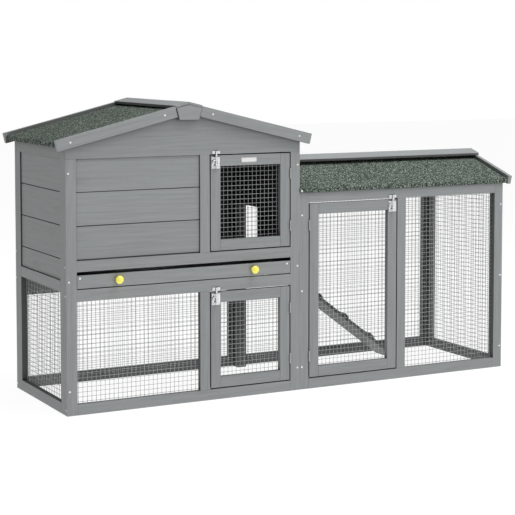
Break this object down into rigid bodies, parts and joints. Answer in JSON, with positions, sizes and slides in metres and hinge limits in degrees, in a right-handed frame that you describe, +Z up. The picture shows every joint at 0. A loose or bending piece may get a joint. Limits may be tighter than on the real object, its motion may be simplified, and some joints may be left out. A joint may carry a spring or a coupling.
{
  "type": "rabbit hutch",
  "caption": "Two-storey timber rabbit hutch: raised house with pull-out tray, lower mesh run, ramp between them, felted roofs, framed mesh doors with barrel bolts.",
  "frame": {"origin": "middle of the overall footprint, on the ground", "axes": "+X from the house towards the run, +Y towards the back, +Z up"},
  "size_m": [1.494, 0.447, 0.8416],
  "materials": {
    "painted_timber": "thin grey stain over fine softwood grain",
    "roofing_felt": "green-grey mineral granules",
    "galvanised_wire": "galvanised, slightly dull",
    "zinc_hardware": "bright zinc plate",
    "tray_sheet": "galvanised sheet",
    "knob_plastic": "yellow, glossy",
    "name_plate": "white, satin"
  },
  "bodies": {
    "frame": {"house_posts": "painted_timber", "house_side_stiles": "painted_timber", "house_cross_rails": "painted_timber", "house_side_rails": "painted_timber", "house_front_planks": "painted_timber", "house_back_planks": "painted_timber", "house_left_planks": "painted_timber", "house_right_planks": "painted_timber", "house_gables": "painted_timber", "tray_runners": "painted_timber", "house_roof_decks": "painted_timber", "house_bargeboards": "painted_timber", "house_ridge_caps": "painted_timber", "house_keystones": "painted_timber", "run_posts": "painted_timber", "run_side_stiles": "painted_timber", "run_cross_rails": "painted_timber", "run_side_rails": "painted_timber", "run_gable": "painted_timber", "run_roof_decks": "painted_timber", "run_bargeboards": "painted_timber", "run_ridge_caps": "painted_timber", "ramp_board": "painted_timber", "ramp_cleats": "painted_timber", "house_roof_felts": "roofing_felt", "run_roof_felts": "roofing_felt", "house_front_mesh": "galvanised_wire", "house_left_mesh": "galvanised_wire", "house_back_mesh": "galvanised_wire", "run_front_mesh": "galvanised_wire", "run_right_mesh": "galvanised_wire", "run_back_mesh": "galvanised_wire", "bolt_keepers": "zinc_hardware", "frame_hinge_leaves": "zinc_hardware", "hinge_pins": "zinc_hardware", "frame_screws": "zinc_hardware"},
    "tray": {"tray_front": "painted_timber", "tray_pan": "tray_sheet", "tray_knobs": "knob_plastic", "tray_screws": "zinc_hardware"},
    "upper_door": {"upper_door_frame": "painted_timber", "upper_door_mesh": "galvanised_wire", "upper_door_hinge_leaves": "zinc_hardware", "upper_bolt_case": "zinc_hardware", "door_name_plate": "name_plate"},
    "upper_bolt": {"upper_bolt_rod": "zinc_hardware"},
    "upper_handle": {"upper_bolt_handle": "zinc_hardware"},
    "lower_door": {"lower_door_frame": "painted_timber", "lower_door_mesh": "galvanised_wire", "lower_door_hinge_leaves": "zinc_hardware", "lower_bolt_case": "zinc_hardware"},
    "lower_bolt": {"lower_bolt_rod": "zinc_hardware"},
    "lower_handle": {"lower_bolt_handle": "zinc_hardware"},
    "run_door": {"run_door_frame": "painted_timber", "run_door_mesh": "galvanised_wire", "run_door_hinge_leaves": "zinc_hardware", "run_bolt_case": "zinc_hardware"},
    "run_bolt": {"run_bolt_rod": "zinc_hardware"},
    "run_handle": {"run_bolt_handle": "zinc_hardware"}
  },
  "joints": [
    {"name": "tray_slide", "type": "slide", "parent": "frame", "child": "tray", "axis": [0, -1, 0], "range_m": [0, 0.36]},
    {"name": "upper_door_swing", "type": "hinge", "parent": "frame", "child": "upper_door", "pos_m": [-0.0316, -0.2061, 0.556], "axis": [0, 0, 1], "range_deg": [0, 90]},
    {"name": "upper_bolt_slide", "type": "slide", "parent": "upper_door", "child": "upper_bolt", "axis": [0, 0, -1], "range_m": [0, 0.013]},
    {"name": "upper_handle_turn", "type": "hinge", "parent": "upper_bolt", "child": "upper_handle", "pos_m": [-0.26955, -0.2085, 0.6768], "axis": [0, 0, 1], "range_deg": [0, 90]},
    {"name": "lower_door_swing", "type": "hinge", "parent": "frame", "child": "lower_door", "pos_m": [-0.0316, -0.2061, 0.1695], "axis": [0, 0, 1], "range_deg": [0, 90]},
    {"name": "lower_bolt_slide", "type": "slide", "parent": "lower_door", "child": "lower_bolt", "axis": [0, 0, -1], "range_m": [0, 0.013]},
    {"name": "lower_handle_turn", "type": "hinge", "parent": "lower_bolt", "child": "lower_handle", "pos_m": [-0.26955, -0.2085, 0.2928], "axis": [0, 0, 1], "range_deg": [0, 90]},
    {"name": "run_door_swing", "type": "hinge", "parent": "frame", "child": "run_door", "pos_m": [0.0316, -0.2061, 0.287], "axis": [0, 0, -1], "range_deg": [0, 90]},
    {"name": "run_bolt_slide", "type": "slide", "parent": "run_door", "child": "run_bolt", "axis": [0, 0, -1], "range_m": [0, 0.013]},
    {"name": "run_handle_turn", "type": "hinge", "parent": "run_bolt", "child": "run_handle", "pos_m": [0.31555, -0.2085, 0.5278], "axis": [0, 0, 1], "range_deg": [0, 90]}
  ]
}
